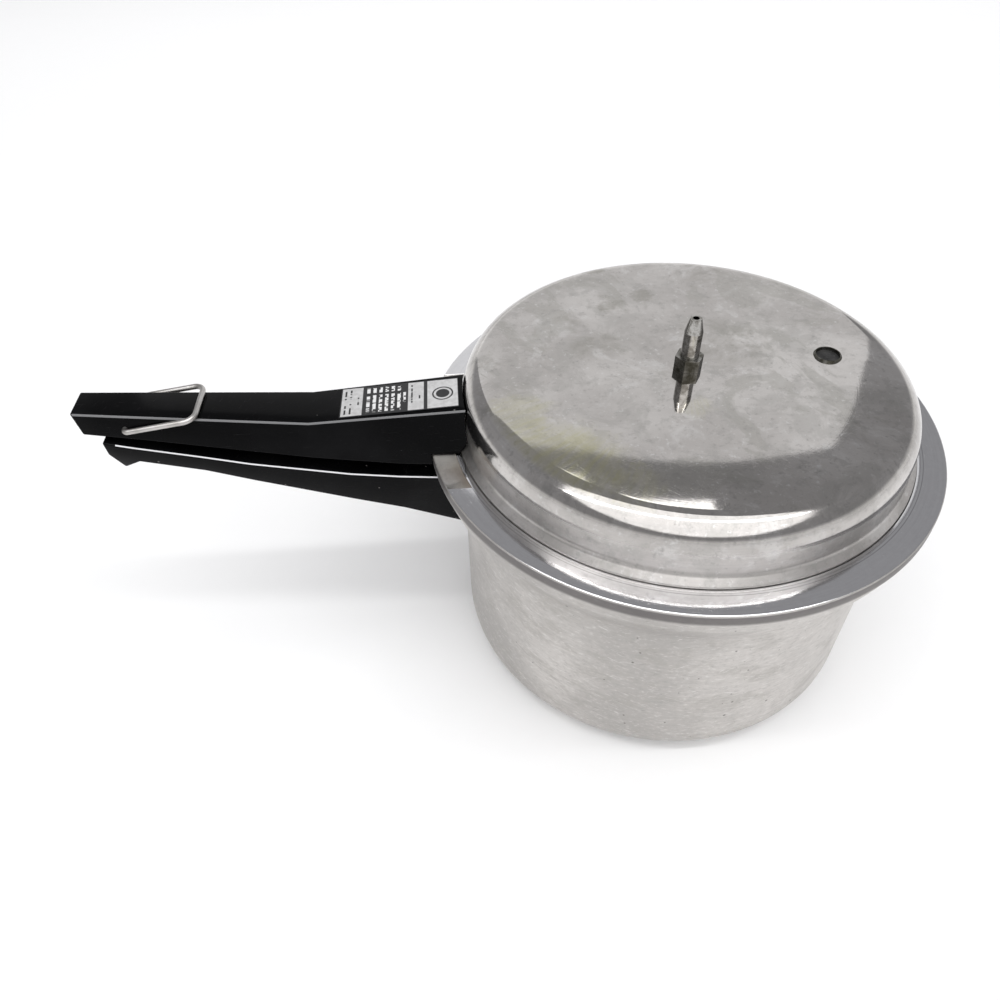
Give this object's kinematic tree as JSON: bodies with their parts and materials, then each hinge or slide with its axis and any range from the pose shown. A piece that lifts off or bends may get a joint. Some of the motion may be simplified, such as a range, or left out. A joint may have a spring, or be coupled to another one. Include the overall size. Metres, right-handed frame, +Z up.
{
  "type": "stovetop pressure cooker",
  "caption": "Aluminium stovetop pressure cooker: round pan with thick collar, bayonet cover with vent pipe, stacked black channel handles, wire hanging loop.",
  "frame": {"origin": "centre of the pan's flat outside bottom, on the pot's axis", "axes": "+Z up along the pot's axis; the two handles point along -X; +Y completes a right-handed frame"},
  "size_m": [0.3837, 0.2322, 0.1822],
  "materials": {
    "cast_aluminium_pan": "satin",
    "aluminium_cover": "satin",
    "seal_rubber": "matte",
    "vent_steel": "satin",
    "zinc_steel": "satin",
    "rack_aluminium": "satin",
    "rivet_aluminium": "satin",
    "insert_brass": "satin",
    "black_phenolic": "gloss",
    "printed_foil": "satin",
    "loop_wire": "satin"
  },
  "bodies": {
    "pan": {"pan_body": "cast_aluminium_pan", "pan_bracket": "zinc_steel", "pan_bracket_rivets": "rivet_aluminium", "pan_handle": "black_phenolic", "pan_handle_washer": "zinc_steel", "pan_handle_screw": "zinc_steel", "pan_handle_insert": "insert_brass"},
    "seal": {"sealing_ring": "seal_rubber"},
    "cover": {"cover_shell": "aluminium_cover", "vent_pipe": "vent_steel", "vent_pipe_washer": "zinc_steel", "vent_pipe_nut": "zinc_steel", "plug_ring": "vent_steel", "overpressure_plug": "seal_rubber", "cover_bracket": "zinc_steel", "cover_bracket_rivets": "rivet_aluminium", "cover_handle": "black_phenolic", "cover_handle_washer": "zinc_steel", "cover_handle_screw": "zinc_steel", "cover_handle_insert": "insert_brass", "cooking_chart_plate": "printed_foil"},
    "loop": {"hanging_loop": "loop_wire"},
    "rack": {"cooking_rack": "rack_aluminium"}
  },
  "joints": [
    {"name": "cover_lift", "type": "slide", "parent": "pan", "child": "seal", "axis": [0, 0, 1], "range_m": [0, 0.12]},
    {"name": "cover_turn", "type": "hinge", "parent": "seal", "child": "cover", "pos_m": [0, 0, 0.13], "axis": [0, 0, 1], "range_deg": [0, 30]},
    {"name": "loop_swing", "type": "hinge", "parent": "cover", "child": "loop", "pos_m": [-0.2458, 0, 0.1468], "axis": [0, -1, 0], "range_deg": [0, 165]},
    {"name": "rack_lift", "type": "slide", "parent": "pan", "child": "rack", "axis": [0, 0, 1], "range_m": [0, 0.11]}
  ]
}
